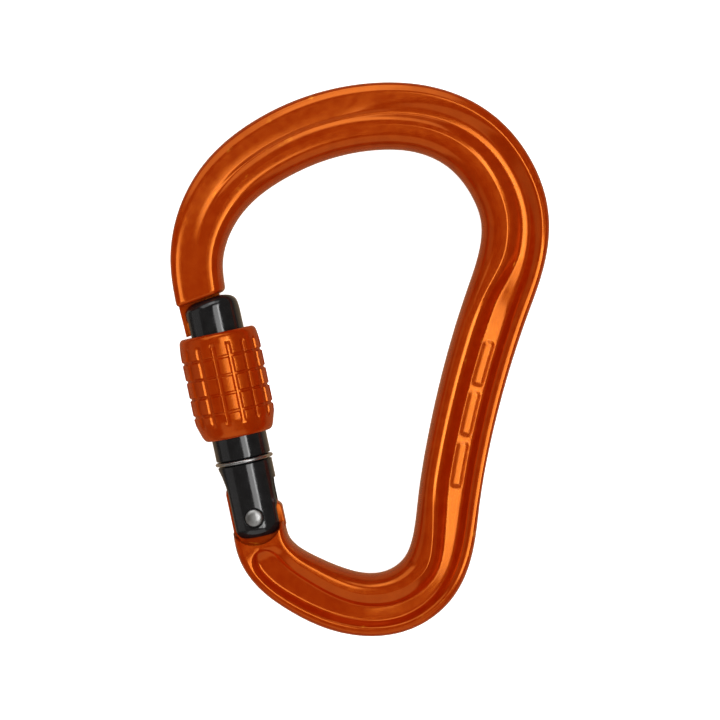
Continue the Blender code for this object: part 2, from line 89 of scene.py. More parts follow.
# Distance along the bar, then the lines of the section from the outside to the inside: crown,
# ridge, shoulder, foot of the outer wall, foot of the inner wall, brow and inner crest. All but
# the ridge and the inner crest come with their height.
BAR_SECTIONS = [
    (0.0, 4.4, 5.6, 4.0, 3.6, 5.5, 2.6, 3.7, -1.5, 4.15, -2.0, 4.9, -3.6),
    (10.0, 4.4, 5.6, 4.0, 3.6, 5.5, 2.6, 3.7, -1.5, 4.15, -2.0, 4.9, -3.6),
    (18.0, 4.7, 5.6, 4.3, 3.8, 5.5, 2.7, 3.6, -1.1, 4.05, -1.6, 4.8, -3.4),
    (28.0, 4.8, 5.6, 4.4, 3.8, 5.5, 2.8, 3.5, -0.3, 3.8, -0.8, 4.6, -2.7),
    (38.0, 4.9, 5.6, 4.6, 4.0, 5.5, 3.0, 3.5, 0.3, 3.2, -0.3, 4.4, -2.6),
    (47.0, 4.9, 5.6, 4.6, 3.9, 5.4, 2.6, 3.2, 0.7, 3.3, -0.9, 5.1, -1.7),
    (54.0, 5.2, 5.6, 4.6, 3.8, 5.3, 2.4, 2.8, -0.2, 3.2, -1.8, 5.2, -2.6),
    (64.0, 5.5, 5.6, 4.8, 3.9, 5.3, 2.7, 2.5, -0.7, 3.0, -2.8, 5.35, -3.7),
    (98.0, 5.5, 5.6, 4.8, 3.9, 5.3, 2.7, 2.5, -0.7, 3.0, -2.8, 5.35, -3.8),
    (104.0, 5.5, 5.6, 4.8, 3.7, 5.0, 2.7, 3.0, -0.4, 3.0, -2.4, 5.25, -3.2),
    (112.0, 5.6, 5.6, 5.0, 4.2, 5.2, 2.6, 3.5, 1.0, 3.8, -0.9, 5.25, -1.9),
    (134.0, 5.8, 5.2, 4.9, 4.2, 5.3, 2.3, 4.0, 1.0, 4.25, -0.8, 5.3, -1.9),
    (150.0, 5.7, 5.2, 4.7, 3.2, 5.5, 1.6, 4.8, 0.5, 4.5, -0.9, 5.3, -2.0),
    (165.0, 5.6, 5.2, 4.6, 2.0, 5.69, 0.6, 5.32, 0.1, 4.9, -0.9, 5.4, -2.1),
    (188.0, 5.1, 5.3, 4.3, 1.9, 5.69, 0.6, 5.34, 0.1, 4.95, -0.9, 5.4, -2.1),
    (200.0, 4.8, 5.4, 4.1, 2.3, 5.69, 1.0, 5.45, 0.0, 5.3, -0.9, 5.45, -2.3),
    (209.0, 4.4, 5.55, 4.0, 3.0, 5.65, 1.4, 5.63, -0.4, 5.62, -1.5, 5.6, -2.2)]
SECTION_EASE = 4.0            # the lines bend over this length at a section
LINE_SAMPLES, LINE_STEP = 4000, 0.01
RIM_HEIGHT, INNER_RIM_HEIGHT = 5.7, 5.55
SIDE_POWER = 2.4
OUTER_SIDE_STEPS, INNER_SIDE_STEPS = 12, 18
FILL_STEPS = [3, 4, 5, 12, 5, 3]       # points between the lines of the section
EDGE_ROUNDING = [0.6, 0.6, 0.5, 0.35, 0.6, 0.6]
EDGE_STEPS = 4
MOST_OF_STRAIGHT = 0.45       # a rounded corner takes at most this part of each straight
CREST_FLAT, CREST_FALL = 0.3, 0.02     # the inner crest is a narrow, nearly flat strip
LEAST_OPENING = 0.05          # how far apart the pocket's lines stay where it starts
POCKET_START, POCKET_END_RADIUS = 5.6, 3.4
NOSE_LEAN, NOSE_LEAN_LENGTH, NOSE_ROUNDING = 0.17, 14.0, 0.9
RING_SPACING = 0.45
PLAIN_PADS = [(64.4, 73.7), (74.9, 84.2), (85.4, 94.7)]     # three plain raised pads on the floor
PAD_HEIGHT, PAD_EDGE = 0.25, 0.35
PAD_INNER_MARGIN, PAD_OUTER_MARGIN = 0.3, 0.5
NOSE_STEPS = 7


def spline_through(points):
    """A smooth curve through the points: a function from distances to rows of values."""
    rows = np.array(points)
    steps = np.hypot(*np.diff(rows[:, :2], axis=0).T)
    reach = np.concatenate([[0.0], np.cumsum(steps)])
    count = len(rows)
    system, right = np.eye(count), np.zeros_like(rows)
    for k in range(1, count - 1):
        before, after = steps[k - 1], steps[k]
        system[k, k - 1:k + 2] = before, 2 * (before + after), after
        right[k] = 6 * ((rows[k + 1] - rows[k]) / after - (rows[k] - rows[k - 1]) / before)
    bend = np.linalg.solve(system, right)

    def values(at):
        k = np.clip(np.searchsorted(reach, at, side="right") - 1, 0, count - 2)
        step = steps[k][:, None]
        ahead = (at - reach[k])[:, None] / step
        behind = 1 - ahead
        straight = behind * rows[k] + ahead * rows[k + 1]
        curved = (behind ** 3 - behind) * bend[k] + (ahead ** 3 - ahead) * bend[k + 1]
        return straight + curved * step ** 2 / 6

    return values, reach[-1]


def bar_line(distances=None):
    """Place, direction and width of the bar at distances along it, or the bar's length."""
    values, reach = spline_through(BAR_POINTS)
    fine = np.linspace(0.0, reach, LINE_SAMPLES)
    places = values(fine)[:, :2]
    travelled = np.concatenate([[0.0], np.cumsum(np.hypot(*np.diff(places, axis=0).T))])
    if distances is None:
        return float(travelled[-1])
    at = np.interp(distances, travelled, fine)
    rows = values(at)
    ahead = values(at + LINE_STEP)[:, :2] - values(at - LINE_STEP)[:, :2]
    ahead /= np.hypot(*ahead.T)[:, None]
    return rows[:, :2], ahead, rows[:, 2]


def softened(at, table, width, samples=9):
    """Values of a table at a distance, with its corners bent over a width."""
    rows = np.array(table)
    places = at + np.linspace(-width / 2, width / 2, samples)
    return np.array([np.interp(places, rows[:, 0], column).mean() for column in rows.T[1:]])


def smooth_step(value, low, high):
    """0 up to low, 1 from high on, and a smooth climb in between."""
    part = np.clip((value - low) / (high - low), 0.0, 1.0)
    return part * part * (3 - 2 * part)


def window(value, low, high, edge):
    """1 between low and high and 0 outside them, with soft edges inside."""
    return smooth_step(value, low, low + edge) * (1 - smooth_step(value, high - edge, high))


def side(crest, edge, height, steps):
    """Points round one side of the bar, from the middle plane up to the crest."""
    angles = np.linspace(0.0, math.pi / 2, steps + 1)[:-1]
    across = crest + (edge - crest) * np.cos(angles) ** (2 / SIDE_POWER)
    return np.stack([across, height * np.sin(angles) ** (2 / SIDE_POWER)], axis=1)


def rounded(points, radii, steps, fill):
    """A line through the points with its corners rounded and its straights divided."""
    points = np.array(points)
    ends = [(points[0], points[0])]
    for before, corner, after, radius in zip(points, points[1:], points[2:], radii):
        back, on = before - corner, after - corner
        shorter = min(np.hypot(*back), np.hypot(*on))
        reach = min(radius, MOST_OF_STRAIGHT * shorter)
        ends.append((corner + back / np.hypot(*back) * reach, corner + on / np.hypot(*on) * reach))
    ends.append((points[-1], points[-1]))
    line = []
    for k in range(len(points) - 1):
        start, stop = ends[k][1], ends[k + 1][0]
        for part in np.arange(fill[k]) / fill[k]:
            line.append(start + (stop - start) * part)
        if k + 2 < len(points):
            first, last = ends[k + 1]
            for t in np.arange(steps) / steps:
                line.append((1 - t) ** 2 * first + 2 * t * (1 - t) * points[k + 1] + t * t * last)
    line.append(points[-1])
    return np.array(line)


def bar_section(at, width, length):
    """Points (across, height) round the bar: up the outer side, over the pocket and back."""
    crown, crown_height, ridge, *middle, crest = softened(at, BAR_SECTIONS, SECTION_EASE)
    past = max(at - (length - NOSE_ROUNDING), 0.0)
    inset = NOSE_ROUNDING - math.sqrt(max(NOSE_ROUNDING ** 2 - past ** 2, 0.0))
    rim, inner_rim = RIM_HEIGHT - inset, INNER_RIM_HEIGHT - inset
    begun = min(max((at - POCKET_START) / POCKET_END_RADIUS, 0.0), 1.0)
    opened = max(math.sqrt(begun * (2 - begun)), LEAST_OPENING)
    lines = np.array(middle).reshape(-1, 2)
    centre = (lines[1, 0] + lines[2, 0]) / 2
    lines[:, 0] = centre + (lines[:, 0] - centre) * opened
    lines[:, 1] = np.minimum(rim - (RIM_HEIGHT - lines[:, 1]) * opened, inner_rim)
    crown_height -= inset
    end, end_height = crest - CREST_FLAT, inner_rim - CREST_FALL
    top = np.vstack([(crown, crown_height), (ridge, rim), lines, (crest, inner_rim),
                     (end, end_height)])
    outer = side(crown, width / 2 - inset, crown_height, OUTER_SIDE_STEPS)
    inner = side(end, inset - width / 2, end_height, INNER_SIDE_STEPS)
    over = rounded(top, EDGE_ROUNDING, EDGE_STEPS, [1, *FILL_STEPS])
    low, high = lines[2, 0] + PAD_INNER_MARGIN, lines[1, 0] - PAD_OUTER_MARGIN
    beside = window(over[:, 0], low, high, PAD_EDGE)
    over[:, 1] += PAD_HEIGHT * beside * sum(window(at, *ends, PAD_EDGE) for ends in PLAIN_PADS)
    upper = np.vstack([outer, over, inner[::-1]])
    lower = upper[-2:0:-1] * (1, -1)
    return np.vstack([upper, lower])


# ---------------------------------------------------------------- mesh helpers

MERGE_DISTANCE, NO_LENGTH = 1e-7, 1e-8     # metres
WIRE_CAP = [0.25, 0.6, 0.85, 1.0]          # radii of the rings of a wire's domed end


def piece(name, mesh, body, slot, finish, *nodes, sharp=40):
    """Shows a mesh as a piece that rides on a body and stands for CAD nodes."""
    made = bpy.data.objects.new(name, mesh)
    bpy.context.scene.collection.objects.link(made)
    mesh.materials.clear()
    mesh.materials.append(finish)
    mesh.shade_smooth()
    mesh.set_sharp_from_angle(angle=math.radians(sharp))
    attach(made, body)
    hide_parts(*nodes)
    return made


def mesh_from(name, points, faces, placement):
    """A mesh of points in millimetres, moved to where the placement puts them."""
    mesh = bpy.data.meshes.new(name)
    mesh.from_pydata([placement @ Vector(point) for point in points], [], faces)
    mesh.update()
    return mesh


def ring_faces(rows, count):
    """Faces between rings of points that follow each other."""
    faces = []
    for row in range(rows - 1):
        for k in range(count):
            near, ahead = row * count + k, row * count + (k + 1) % count
            faces.append((near, ahead, ahead + count, near + count))
    return faces


def loft(name, rings, placement):
    """A closed mesh through rings of points, with flat ends."""
    count = len(rings[0])
    points = np.concatenate(rings)
    faces = ring_faces(len(rings), count)
    faces.append(tuple(reversed(range(count))))
    faces.append(tuple(range(len(points) - count, len(points))))
    return mesh_from(name, points, faces, placement)


def closed_loft(name, rings, placement):
    """A closed mesh through rings of points, the last of which meets the first."""
    count = len(rings[0])
    points = np.concatenate(rings)
    faces = []
    for face in ring_faces(len(rings) + 1, count):
        faces.append(tuple(corner % len(points) for corner in face))
    return mesh_from(name, points, faces, placement)


def pointed_loft(name, rings, placement):
    """A closed mesh through rings of points, whose first and last ring are closed with a fan."""
    count = len(rings[0])
    points = np.concatenate([*rings, [rings[0].mean(axis=0)], [rings[-1].mean(axis=0)]])
    faces = ring_faces(len(rings), count)
    first, last = len(points) - 2, len(points) - 1
    start = (len(rings) - 1) * count
    for k in range(count):
        faces.append((first, (k + 1) % count, k))
        faces.append((last, start + k, start + (k + 1) % count))
    return mesh_from(name, points, faces, placement)


def plate(name, outline, low, high, placement):
    """A cutter: a flat outline thickened from one height to another."""
    x, y = np.array(outline).T
    if (x * np.roll(y, -1) - y * np.roll(x, -1)).sum() < 0:
        outline = outline[::-1]
    rings = [np.array([(x, y, z) for x, y in outline]) for z in (low, high)]
    return cutter(name, loft(name, rings, placement))


def rounded_plate(name, outline, half, rounding, placement, steps=5):
    """A cutter: a flat outline from -half to half with its edges rounded."""
    points = np.array(outline)
    ahead = np.roll(points, -1, axis=0) - points
    ahead /= np.hypot(*ahead.T)[:, None]
    out = np.stack([ahead[:, 1], -ahead[:, 0]], axis=1)
    area = (points[:, 0] * np.roll(points[:, 1], -1) - np.roll(points[:, 0], -1) * points[:, 1]).sum()
    corner = (out + np.roll(out, 1, axis=0)) * math.copysign(0.5, area)
    rings = []
    for angle in np.linspace(0.0, math.pi / 2, steps):
        inset, height = rounding * (1 - math.sin(angle)), half - rounding * (1 - math.cos(angle))
        rings.append(np.column_stack([points - corner * inset, np.full(len(points), height)]))
    rings = [ring * (1, 1, -1) for ring in rings] + rings[::-1]
    if area < 0:
        rings = [ring[::-1] for ring in rings]
    return cutter(name, loft(name, rings, placement))


def cylinder(name, radius, low, high, placement, steps=64):
    """A cutter: a cylinder along the third direction."""
    turn = 2 * math.pi / steps
    outline = [(radius * math.cos(turn * k), radius * math.sin(turn * k)) for k in range(steps)]
    return plate(name, outline, low, high, placement)


def box(name, low, high, placement):
    """A cutter: a box between two corners."""
    (x0, y0, z0), (x1, y1, z1) = low, high
    return plate(name, [(x0, y0), (x1, y0), (x1, y1), (x0, y1)], z0, z1, placement)


def cutter(name, mesh):
    """An object for a Boolean step; carved() removes it after use."""
    made = bpy.data.objects.new(name, mesh)
    bpy.context.scene.collection.objects.link(made)
    return made


def carved(mesh, steps):
    """The mesh after Boolean steps, which are (operation, cutters)."""
    work = cutter(mesh.name + "_work", mesh)
    used = [work]
    for operation, tools in steps:
        for tool in tools:
            step = work.modifiers.new(tool.name, "BOOLEAN")
            step.operation, step.object, step.solver = operation, tool, "EXACT"
            used.append(tool)
    bpy.context.view_layer.update()
    evaluated = work.evaluated_get(bpy.context.evaluated_depsgraph_get())
    made = bpy.data.meshes.new_from_object(evaluated)
    made.name = mesh.name
    for tool in used:
        bpy.data.objects.remove(tool, do_unlink=True)
    return made


def facing_out(mesh, merge=False):
    """Turns the faces of a closed mesh outwards, and first merges points that coincide."""
    work = bmesh.new()
    work.from_mesh(mesh)
    if merge:
        bmesh.ops.remove_doubles(work, verts=work.verts, dist=MERGE_DISTANCE)
        bmesh.ops.dissolve_degenerate(work, dist=NO_LENGTH, edges=work.edges)
    bmesh.ops.recalc_face_normals(work, faces=work.faces)
    work.to_mesh(mesh)
    work.free()
    return mesh


def add_grain(mesh, values):
    """Writes the attribute that tells the metal finish how grainy each point is."""
    attribute = mesh.attributes.new("grain", "FLOAT", "POINT")
    attribute.data.foreach_set("value", values)


def turned(name, profile, steps, placement):
    """A closed solid of revolution about the third direction; profile is (radius, height)."""
    profile = np.array(profile)
    rings = []
    for k in range(steps):
        angle = 2 * math.pi * k / steps
        radius, height = profile.T
        rings.append(np.stack([radius * math.cos(angle), radius * math.sin(angle), height], axis=1))
    return facing_out(closed_loft(name, rings, placement), merge=True)


def wire(name, centres, radius, placement, sides=16):
    """A round wire with domed ends along a line of centres."""
    centres = np.array(centres)
    ahead = np.gradient(centres, axis=0)
    ahead /= np.linalg.norm(ahead, axis=1)[:, None]
    side_way = np.cross(ahead[0], (0.0, 1.0, 0.001))
    angles = np.arange(sides) * 2 * math.pi / sides
    rings = []
    count = len(centres)
    for k in range(count):
        side_way = side_way - ahead[k] * (side_way @ ahead[k])
        side_way /= np.linalg.norm(side_way)
        up_way = np.cross(ahead[k], side_way)
        ring = np.outer(np.cos(angles), side_way) + np.outer(np.sin(angles), up_way)
        scales = [(1.0, 0.0)]
        if k == 0:
            scales = [(c, -math.sqrt(1 - c * c)) for c in WIRE_CAP]
        if k == count - 1:
            scales = [(c, math.sqrt(1 - c * c)) for c in reversed(WIRE_CAP)]
        for scale, shift in scales:
            rings.append(centres[k] + (ring * scale + ahead[k] * shift) * radius)
    return facing_out(pointed_loft(name, rings, placement))


# ---------------------------------------------------------------- materials

MOTTLE_SCALE, SCUFF_SCALE, PATCH_SHARE = 420.0, 900.0, 0.2
SPECK_STRENGTH = 0.35
# Pointiness range of the lighter edges: wear, and on the orange finish also a painted highlight along
# the ridges.
EDGE_WEAR_AND_HIGHLIGHT_RANGE, SCUFFED = (0.53, 0.62), (0.4, 0.7)
PATCHES = (0.3, 0.7)
COAT_ROUGHNESS = 0.1
GRAINY_SHARE = 0.75           # place of the grainy parts between least and most roughness
GRAIN_DEPTH = 0.06
FLOOR_PALE, FLOOR_PALER = (0.90, 0.90, 0.90), (0.92, 0.92, 0.92)
FLOOR_ROUGHNESS, FLOOR_SPECULAR, FLOOR_GLOW, FLOOR_MOTTLE = 0.9, 0.1, 0.65, 40.0


def node(made, kind, inputs=None, **settings):
    """Adds a shader node; inputs are values or the outputs that feed them."""
    new = made.node_tree.nodes.new(kind)
    for name, value in settings.items():
        setattr(new, name, value)
    for key, value in (inputs or {}).items():
        if isinstance(value, bpy.types.NodeSocket):
            made.node_tree.links.new(value, new.inputs[key])
        else:
            new.inputs[key].default_value = value
    return new


def noise(made, scale, detail=3.0):
    """Noise over the piece's own coordinates; scale is in waves a metre."""
    place = node(made, "ShaderNodeTexCoord").outputs["Object"]
    texture = node(made, "ShaderNodeTexNoise", {"Vector": place, "Scale": scale, "Detail": detail})
    return texture.outputs["Fac"]


def between(made, factor, low, high, start=0.35, stop=0.65):
    """A number that goes from low to high as the factor goes from start to stop."""
    return node(made, "ShaderNodeMapRange",
                {"Value": factor, "From Min": start, "From Max": stop, "To Min": low,
                 "To Max": high}).outputs["Result"]


def mixed(made, factor, first, second):
    """A mix of two colours, each a colour or an output."""
    mix = node(made, "ShaderNodeMix", data_type="RGBA")
    for index, value in ((0, factor), (6, first), (7, second)):
        if isinstance(value, bpy.types.NodeSocket):
            made.node_tree.links.new(value, mix.inputs[index])
        else:
            mix.inputs[index].default_value = value if index == 0 else (*value, 1.0)
    return mix.outputs[2]


def mixed_value(made, factor, first, second):
    """A mix of two numbers."""
    mix = node(made, "ShaderNodeMix", {0: factor, 2: first, 3: second}, data_type="FLOAT")
    return mix.outputs[0]


def product(made, first, second):
    return node(made, "ShaderNodeMath", {0: first, 1: second}, operation="MULTIPLY").outputs[0]


def metal(name, dark, light, edge_wear_and_highlight, roughness, grain, grain_scale, mask=None, metallic=1.0,
          coat=0.0, specular=0.5, tint=None, index=1.5):
    """A metal finish: mottled colour, lighter edges (wear, and on the orange finish also a painted
    highlight along the ridges), uneven roughness and a fine grain.

    dark and light are colours, and the third is that of the lighter edges (wear, and painted highlight
    on the orange finish); roughness and grain are (least, most), and the mask is an attribute of the
    mesh that is 1 where the grain is at its most.
    """
    made = bpy.data.materials.new(name)
    made.use_nodes = True
    shader = made.node_tree.nodes["Principled BSDF"]
    shader.inputs["Metallic"].default_value = metallic
    shader.inputs["Coat Weight"].default_value = coat
    shader.inputs["Coat Roughness"].default_value = COAT_ROUGHNESS
    shader.inputs["Specular IOR Level"].default_value = specular
    shader.inputs["IOR"].default_value = index
    if tint:
        shader.inputs["Specular Tint"].default_value = (*tint, 1.0)
    mottle = between(made, noise(made, MOTTLE_SCALE), 0.0, 1.0)
    specks = between(made, noise(made, grain_scale, 2.0), 0.0, SPECK_STRENGTH)
    colour = mixed(made, mottle, dark, light)
    colour = mixed(made, specks, colour, dark)
    point = node(made, "ShaderNodeNewGeometry").outputs["Pointiness"]
    # Lighter convex edges: wear, and on the orange finish also a painted highlight along the ridges.
    edge_wear_and_highlight_mask = between(made, point, 0.0, 1.0, *EDGE_WEAR_AND_HIGHLIGHT_RANGE)
    scuffs = between(made, noise(made, SCUFF_SCALE, 4.0), 0.0, 1.0, *SCUFFED)
    colour = mixed(made, product(made, edge_wear_and_highlight_mask, scuffs), colour, edge_wear_and_highlight)
    link = made.node_tree.links.new
    link(colour, shader.inputs["Base Color"])
    share = noise(made, grain_scale * PATCH_SHARE, 4.0)
    strength = grain[1]
    if mask:
        share_mask = node(made, "ShaderNodeAttribute", attribute_name=mask).outputs["Fac"]
        strength = between(made, share_mask, grain[0], grain[1], 0.0, 1.0)
        share = mixed_value(made, share_mask, share, GRAINY_SHARE)
    link(between(made, share, *roughness, *PATCHES), shader.inputs["Roughness"])
    height = noise(made, grain_scale)
    bump = node(made, "ShaderNodeBump", {"Height": height, "Strength": strength,
                                         "Distance": GRAIN_DEPTH * MM})
    link(bump.outputs["Normal"], shader.inputs["Normal"])
    return made


def pale_floor():
    made = bpy.data.materials.new("pale_floor")
    made.use_nodes = True
    shader = made.node_tree.nodes["Principled BSDF"]
    shader.inputs["Roughness"].default_value = FLOOR_ROUGHNESS
    shader.inputs["Specular IOR Level"].default_value = FLOOR_SPECULAR
    shade = between(made, noise(made, FLOOR_MOTTLE, 2.0), 0.0, 1.0)
    colour = mixed(made, shade, FLOOR_PALE, FLOOR_PALER)
    made.node_tree.links.new(colour, shader.inputs["Base Color"])
    shader.inputs["Emission Color"].default_value = (1.0, 1.0, 1.0, 1.0)
    shader.inputs["Emission Strength"].default_value = FLOOR_GLOW
    return made


# ---------------------------------------------------------------- body

TANG_HALF, TANG_ROUNDING = 2.5, 0.35
FOOT_CLEARANCE_RADIUS, FOOT_CLEARANCE_BASE, FOOT_CLEARANCE_REACH = 5.6, -2.0, 9.0
CLEARANCE_STEPS, SWING_STEPS = 40, 12
HOLE_RADIUS, HOLE_REACH = 1.55, 4.0
# The grainy floor: along the bar it comes in and goes out over these distances, is fainter on the
# arch, and fades out from just within the feet of the walls to just past them.
GRAIN_COMES_IN, GRAIN_GOES_OUT = (34.0, 44.0), (96.0, 100.0)
FAINT_GRAIN, FAINT_GRAIN_COMES_IN = 0.5, (106.0, 110.0)
GRAIN_WITHIN, GRAIN_PAST = 0.2, 0.3
GRAIN_SAMPLES, GRAIN_BATCH = 900, 4000
OUTER_FOOT, INNER_FOOT = 5, 7          # their columns in BAR_SECTIONS, past the distance
TANG_OUTLINE = [
    (-3.2, -5.9), (-4.78, -2.3), (-4.78, 5.4), (-4.6, 6.2), (-4.2, 6.2), (-3.2, 4.9),
    (-1.6, 3.8), (0.2, 3.4), (1.8, 3.5), (3.0, 3.9), (4.0, 3.5), (4.75, 2.2), (5.2, 1.8),
    (5.6, 1.4), (5.8, 0.9), (5.8, -3.0), (4.4, -5.9)]
NOSE_PLANE = 45.3
TONGUE_SWING_RADIUS, TONGUE_TOP = 38.75, 47.0
TONGUE_OUTER_TOP, TONGUE_OUTER_END, TONGUE_INNER, TONGUE_ROOT = -6.2, -5.95, 2.3, 1.5
NECK_HALF, TOE_HALF, TOE_OUTER, TOE_TOP = 1.3, 2.4, -5.2, 41.0
ASIDE = 0.05


def bar_rings():
    """The bar's sections, close together and closer still round the edge of the nose."""
    length = bar_line()
    even = np.linspace(0.0, length - NOSE_ROUNDING, int(length / RING_SPACING))
    turn = np.linspace(0.0, math.pi / 2, NOSE_STEPS)[1:]
    distances = np.concatenate([even, length - NOSE_ROUNDING * (1 - np.sin(turn))])
    rings = []
    for at, place, ahead, width in zip(distances, *bar_line(distances)):
        outwards = np.array([ahead[1], -ahead[0]])
        lean = NOSE_LEAN * smooth_step(at, length - NOSE_LEAN_LENGTH, length)
        section = bar_section(at, width, length)
        flat = place + section[:, :1] * (outwards + lean * ahead)
        rings.append(np.column_stack([flat, section[:, 1]]))
    return rings


def arc(radius, start, end, count):
    """Points of an arc about the rivet; the angles are in degrees."""
    angles = np.radians(np.linspace(start, end, count))
    return [(radius * math.cos(a), radius * math.sin(a)) for a in angles]


def foot_clearance():
    """The room that the gate's foot needs to turn in, cut out of the bar."""
    reach, base = FOOT_CLEARANCE_REACH, FOOT_CLEARANCE_BASE
    corner = math.degrees(math.asin(base / FOOT_CLEARANCE_RADIUS))
    outline = [(reach, base), (reach, reach), (-reach, reach), (-reach, base)]
    outline += arc(FOOT_CLEARANCE_RADIUS, 180 - corner, 360 + corner, CLEARANCE_STEPS)
    return plate("foot_clearance", outline, -reach, reach, GATE)


def tongue():
    """The nose's neck and its wider toe, with their ends rounded about the rivet."""
    swing = TONGUE_SWING_RADIUS
    angles = [math.degrees(math.acos(x / swing))
              for x in (TONGUE_INNER, TONGUE_OUTER_END, TONGUE_INNER - ASIDE, TOE_OUTER)]
    neck = [(TONGUE_INNER, TONGUE_TOP)] + arc(swing, angles[0], angles[1], SWING_STEPS)
    neck += [(TONGUE_OUTER_TOP, NOSE_PLANE), (TONGUE_OUTER_TOP + TONGUE_ROOT, TONGUE_TOP)]
    toe = [(TONGUE_INNER - ASIDE, TOE_TOP)] + arc(swing, angles[2], angles[3], SWING_STEPS)
    toe += [(TOE_OUTER, TOE_TOP)]
    return [plate("neck", neck, -NECK_HALF, NECK_HALF, GATE),
            plate("toe", toe, -TOE_HALF, TOE_HALF, GATE)]


def mark_floor(mesh):
    """Marks the grainy floor of the forged pocket."""
    distances = np.linspace(0.0, bar_line(), GRAIN_SAMPLES)
    places, aheads, _ = bar_line(distances)
    sections = np.array([softened(at, BAR_SECTIONS, SECTION_EASE) for at in distances])
    points = np.array([v.co for v in mesh.vertices]) / MM
    grain = np.zeros(len(points), np.float32)
    for start in range(0, len(points), GRAIN_BATCH):
        part = slice(start, start + GRAIN_BATCH)
        flat = points[part, :2]
        nearest = ((flat[:, None] - places[None]) ** 2).sum(axis=2).argmin(axis=1)
        offset, ahead, at = flat - places[nearest], aheads[nearest], distances[nearest]
        across = offset[:, 0] * ahead[:, 1] - offset[:, 1] * ahead[:, 0]
        outer, inner = sections[nearest][:, [OUTER_FOOT, INNER_FOOT]].T
        floor = smooth_step(across, inner - GRAIN_PAST, inner + GRAIN_WITHIN)
        floor *= 1 - smooth_step(across, outer - GRAIN_WITHIN, outer + GRAIN_PAST)
        full = smooth_step(at, *GRAIN_COMES_IN) * (1 - smooth_step(at, *GRAIN_GOES_OUT))
        faint = FAINT_GRAIN * smooth_step(at, *FAINT_GRAIN_COMES_IN)
        grain[part] = floor * np.maximum(full, faint)
    add_grain(mesh, grain)


def make_body(finish):
    tang = rounded_plate("tang", TANG_OUTLINE, TANG_HALF, TANG_ROUNDING, GATE)
    hole = cylinder("tang_hole", HOLE_RADIUS, -HOLE_REACH, HOLE_REACH, GATE)
    mesh = carved(loft("bar_forging", bar_rings(), MIDDLE),
                  [("DIFFERENCE", [foot_clearance()]), ("UNION", [tang, *tongue()]),
                   ("DIFFERENCE", [hole])])
    mark_floor(mesh)
    return piece("bar_forging", mesh, "bar", "bar", finish, "body")


# ---------------------------------------------------------------- gate

TUBE_OFFSET, TUBE_RADIUS = 0.17, 5.72
# Radius and height about the axis of the gate's tube, for what is bored or turned about it
TUBE = GATE @ Matrix.Translation((TUBE_OFFSET, 0.0, 0.0)) @ Matrix.Rotation(-math.pi / 2, 4, "X")
GATE_FOOT, GATE_FOOT_ROUNDING = -4.15, 2.2
GATE_HEAD, GATE_HEAD_ROUNDING = 45.0, 2.0
HEAD_SHOULDER = (3.9, 2.4)      # the inner side of the head is drawn in: length and depth
GATE_HEAD_SLOPE_START, NOSE_SLOPE = 40.0, 0.13
RING_GROOVE, RING_GROOVE_DEPTH, RING_GROOVE_EDGE = (10.95, 12.15), 0.72, 0.12
# Where the gate's tube is cut flat: place along the gate, then the limit across it on that side
GATE_OUTER = [(-5.0, -4.35), (5.6, -4.35), (7.0, -4.45), (9.4, -4.95), (10.9, -5.6), (50.0, -5.6)]
GATE_INNER = [(-5.0, 4.8), (1.2, 4.8), (1.7, 5.25), (5.6, 5.35), (7.0, 5.9), (50.0, 5.95)]
GATE_OUTER_EASE, GATE_INNER_EASE = 1.0, 0.5
GATE_STEPS, FOOT_STEPS, HEAD_STEPS, GROOVE_STEPS = 144, 12, 10, 7
FOOT_SPACING, TUBE_SPACING, GROOVE_REACH = 0.3, 0.4, 0.15
CLEVIS_HALF, CLEVIS_TOP = 2.7, 7.0
SPOT_FACE_RADIUS, SPOT_FACE_HEIGHT = 2.1, 4.9
SLOT_FLOOR, TOE_SLOT_TOP = 37.8, 41.4
BORE_RADIUS, BORE_TOP, BORE_OVERLAP = 2.4, 31.0, 1.0
GAP, FAR = 0.3, 12.0


def end_inset(past, radius):
    """How far a rounded end draws in, at a distance past the start of the rounding."""
    past = min(max(past, 0.0), radius)
    return radius - math.sqrt(radius ** 2 - past ** 2)


def soft_limit(values, limit, softness=0.25):
    """Values held below a limit, with a rounded corner."""
    over = (values - limit) / softness
    return limit - softness * np.log1p(np.exp(-over))


def gate_ring(along):
    """Points round the gate at a place along it."""
    inset = end_inset(GATE_FOOT + GATE_FOOT_ROUNDING - along, GATE_FOOT_ROUNDING)
    inset += end_inset(along - GATE_HEAD + GATE_HEAD_ROUNDING, GATE_HEAD_ROUNDING)
    outer, = softened(along, GATE_OUTER, GATE_OUTER_EASE)
    inner, = softened(along, GATE_INNER, GATE_INNER_EASE)
    angles = np.arange(GATE_STEPS) * 2 * math.pi / GATE_STEPS
    start, end = RING_GROOVE
    groove = smooth_step(along, start - RING_GROOVE_EDGE, start + RING_GROOVE_EDGE)
    groove *= 1 - smooth_step(along, end - RING_GROOVE_EDGE, end + RING_GROOVE_EDGE)
    radius = TUBE_RADIUS - inset - RING_GROOVE_DEPTH * groove
    length, depth = HEAD_SHOULDER
    past = min(max((along - GATE_HEAD + length) / length, 0.0), 1.0)
    inner -= depth * (1 - math.sqrt(1 - past * past))
    across = TUBE_OFFSET + radius * np.cos(angles)
    across = soft_limit(across, inner - inset)
    across = -soft_limit(-across, -(outer + inset))
    rise = NOSE_SLOPE * smooth_step(along, GATE_HEAD_SLOPE_START, GATE_HEAD)
    return np.column_stack([across, along + rise * across, -radius * np.sin(angles)])


